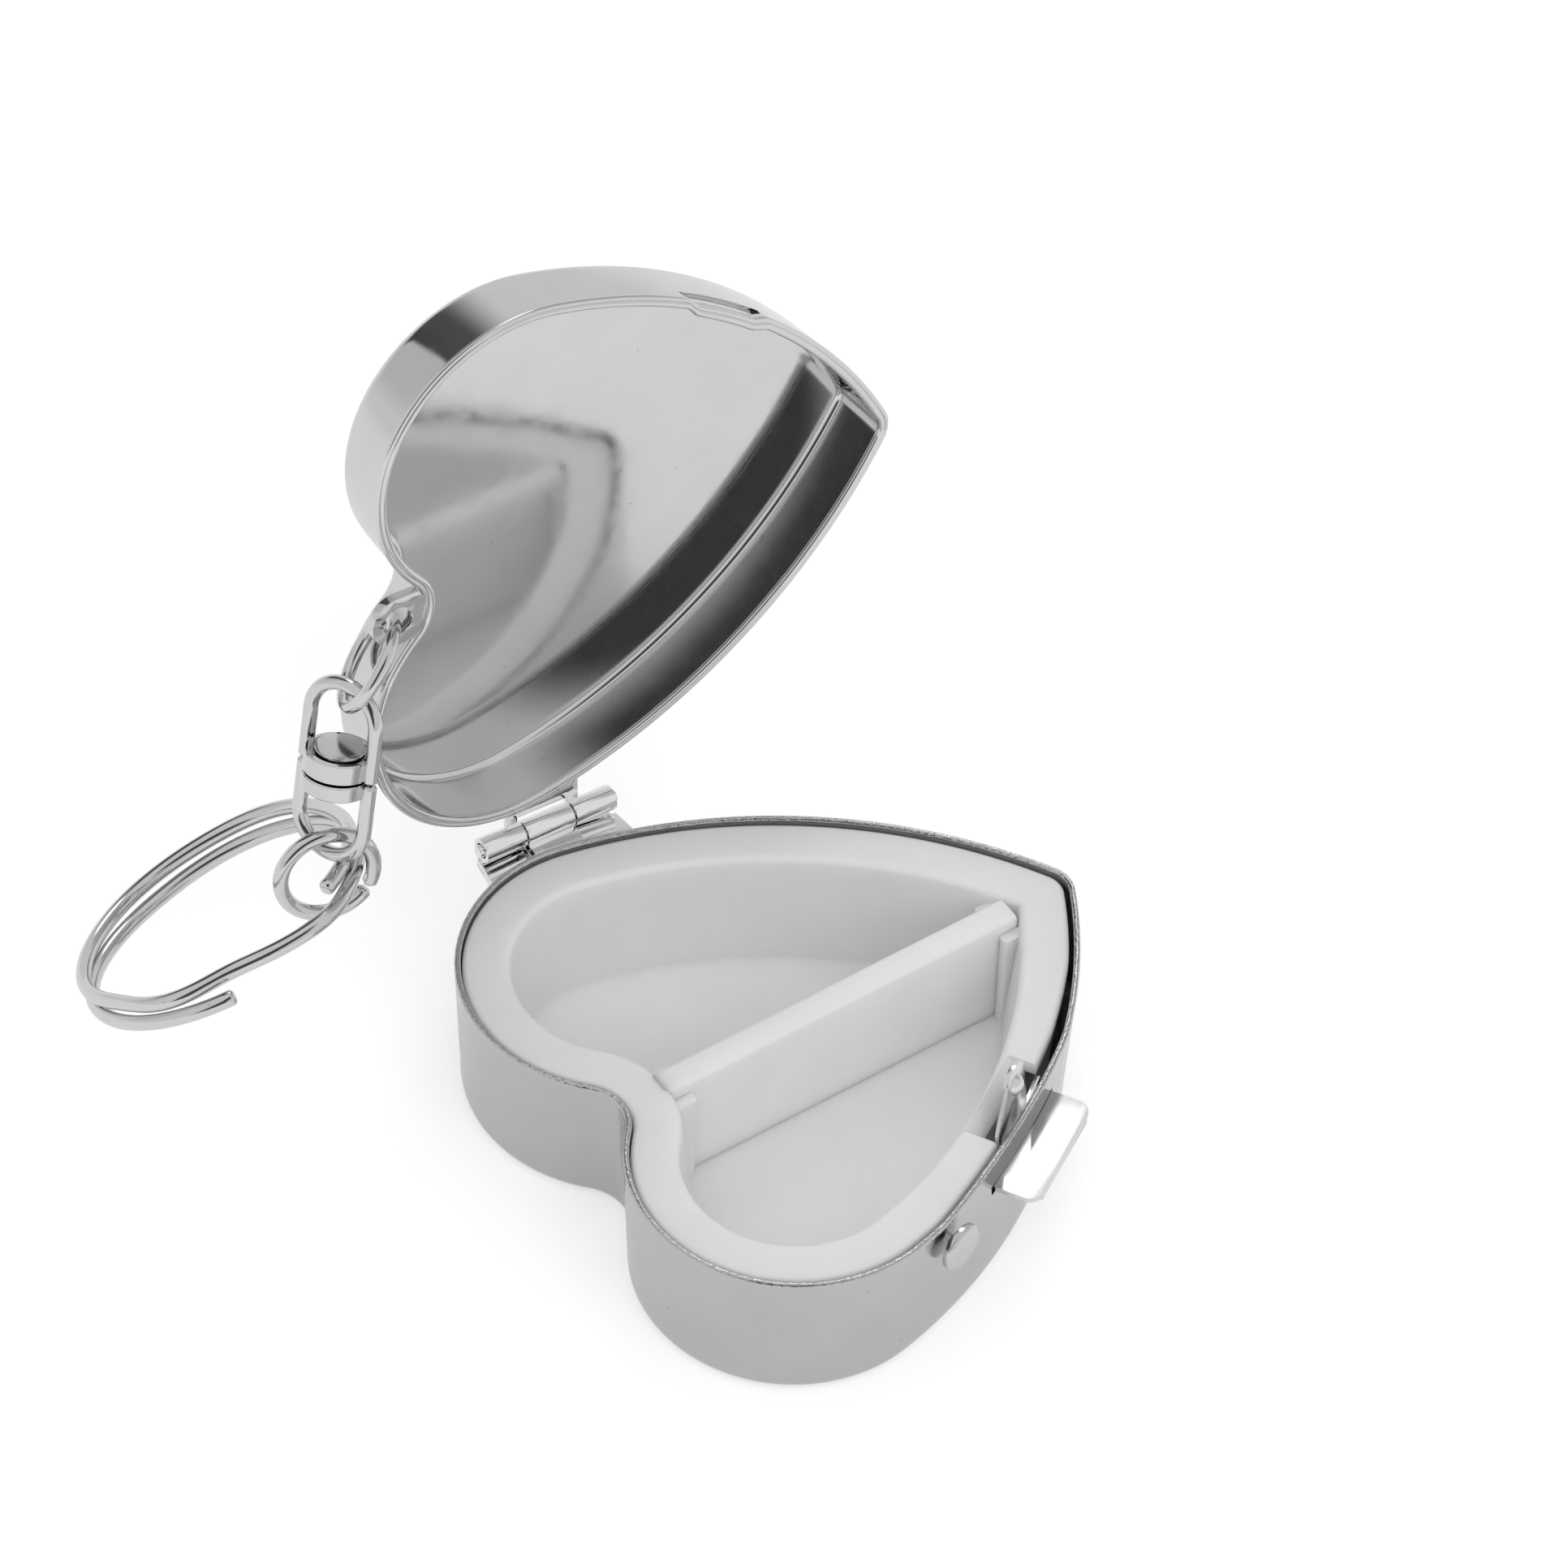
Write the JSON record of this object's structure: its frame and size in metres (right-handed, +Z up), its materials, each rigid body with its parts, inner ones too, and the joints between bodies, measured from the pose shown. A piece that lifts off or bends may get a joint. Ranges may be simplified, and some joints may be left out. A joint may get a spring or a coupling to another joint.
{
  "type": "pill case",
  "caption": "Heart-shaped hinged metal pill case with a plastic liner and lift-out divider, a sprung thumb latch and a key ring on a swivel chain.",
  "frame": {"origin": "on the base's flat underside, at the centre of the heart's box", "axes": "+X towards the heart's tip, +Y towards the hinge, +Z up out of the base"},
  "size_m": [0.0726, 0.0695, 0.0656],
  "materials": {
    "case_metal": "polished nickel plate",
    "hinge_metal": "polished nickel plate",
    "latch_metal": "polished nickel plate",
    "chain_metal": "polished nickel plate",
    "liner_plastic": "matte, slightly translucent white"
  },
  "bodies": {
    "base": {"base_shell": "case_metal", "base_hinge_leaf": "hinge_metal", "hinge_pin": "hinge_metal", "liner_tray": "liner_plastic", "latch_rivet": "latch_metal"},
    "lid": {"lid_shell": "case_metal", "lid_hinge_leaf": "hinge_metal", "key_lug": "chain_metal"},
    "latch": {"latch_spring": "latch_metal"},
    "divider": {"divider": "liner_plastic"},
    "lug_ring": {"lug_ring": "chain_metal"},
    "upper_bow": {"swivel_upper_bow": "chain_metal"},
    "lower_bow": {"swivel_lower_bow": "chain_metal", "swivel_rivet": "chain_metal"},
    "lower_ring": {"lower_ring": "chain_metal"},
    "split_ring": {"split_ring": "chain_metal"}
  },
  "joints": [
    {"name": "lid_hinge", "type": "hinge", "parent": "base", "child": "lid", "pos_m": [-0.0076, 0.0271, 0.01367], "axis": [0.9985, -0.0453, -0.0297], "range_deg": [0, 95.8]},
    {"name": "latch_flex", "type": "hinge", "parent": "base", "child": "latch", "pos_m": [-0.00446, -0.02222, 0.01065], "axis": [0, 0, 1], "range_deg": [0, 4], "stiffness_Nm_per_rad": 0.8},
    {"name": "divider_lift", "type": "slide", "parent": "base", "child": "divider", "axis": [0, 0, 1], "range_m": [0, 0.0055]},
    {"name": "lug_ring_swing", "type": "hinge", "parent": "lid", "child": "lug_ring", "pos_m": [-0.02009, 0.03035, 0.04141], "axis": [0.0125, 0.9949, -0.1001], "range_deg": [0, 60]},
    {"name": "swivel_swing", "type": "hinge", "parent": "lug_ring", "child": "upper_bow", "pos_m": [-0.02462, 0.03035, 0.03519], "axis": [-0.4524, -0.829, 0.3287], "range_deg": [-40, 0]},
    {"name": "swivel_turn", "type": "hinge", "parent": "upper_bow", "child": "lower_bow", "pos_m": [-0.02498, 0.02991, 0.03364], "axis": [-0.2466, -0.1997, -0.9483], "range_deg": [-60, 8]},
    {"name": "lower_ring_swing", "type": "hinge", "parent": "lower_bow", "child": "lower_ring", "pos_m": [-0.02791, 0.02753, 0.02235], "axis": [0.3472, -0.9318, 0.1059], "range_deg": [-25, 8]},
    {"name": "split_ring_swing", "type": "hinge", "parent": "lower_ring", "child": "split_ring", "pos_m": [-0.02447, 0.02649, 0.02076], "axis": [0.1379, -0.1986, -0.9703], "range_deg": [-25, 10]}
  ]
}
